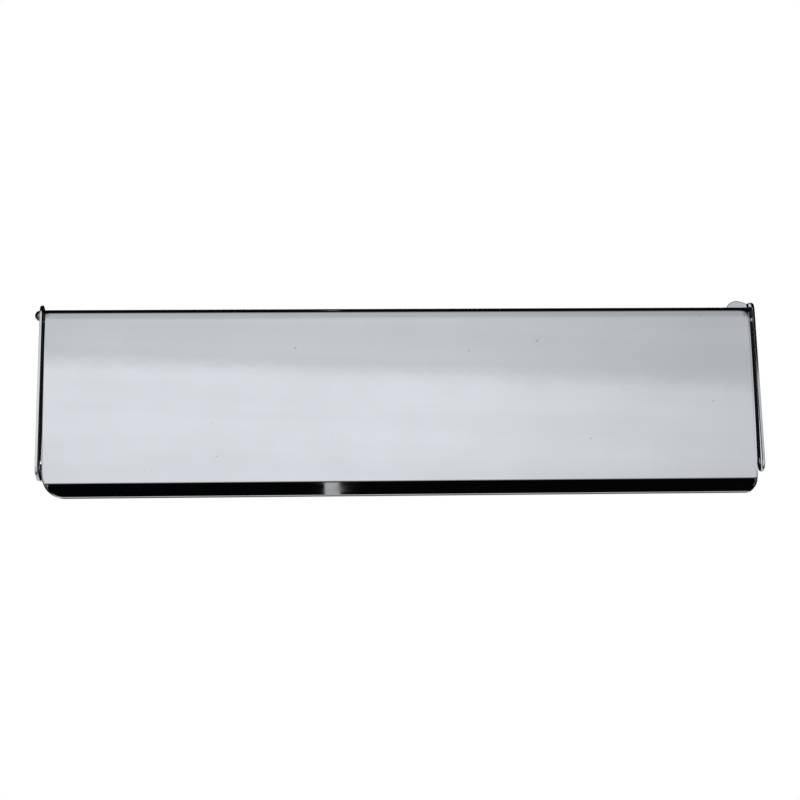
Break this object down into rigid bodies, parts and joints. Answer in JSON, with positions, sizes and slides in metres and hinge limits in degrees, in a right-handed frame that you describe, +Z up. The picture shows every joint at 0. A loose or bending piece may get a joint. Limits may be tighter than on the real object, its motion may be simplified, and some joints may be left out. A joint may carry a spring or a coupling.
{
  "type": "interior letter flap",
  "caption": "Slim interior letter flap in polished chrome: a bowed plate with a lip that swings on a rod between two side brackets.",
  "frame": {"origin": "on the door's inner face, midway between the two fixing screws", "axes": "+Z up the door, the front towards -Y, +X along the flap to the right as seen from the front"},
  "size_m": [0.2859, 0.0085, 0.0803],
  "materials": {
    "flap": "polished",
    "rod": "polished",
    "bracket": "polished",
    "washer": "satin"
  },
  "bodies": {
    "frame": {"hinge_rod": "rod", "left_bracket": "bracket", "right_bracket": "bracket", "left_washer": "washer", "right_washer": "washer"},
    "flap": {"flap_plate": "flap"}
  },
  "joints": [
    {"name": "flap_hinge", "type": "hinge", "parent": "frame", "child": "flap", "pos_m": [0, -0.00425, 0.0305], "axis": [-1, 0, 0], "range_deg": [0, 175]}
  ]
}
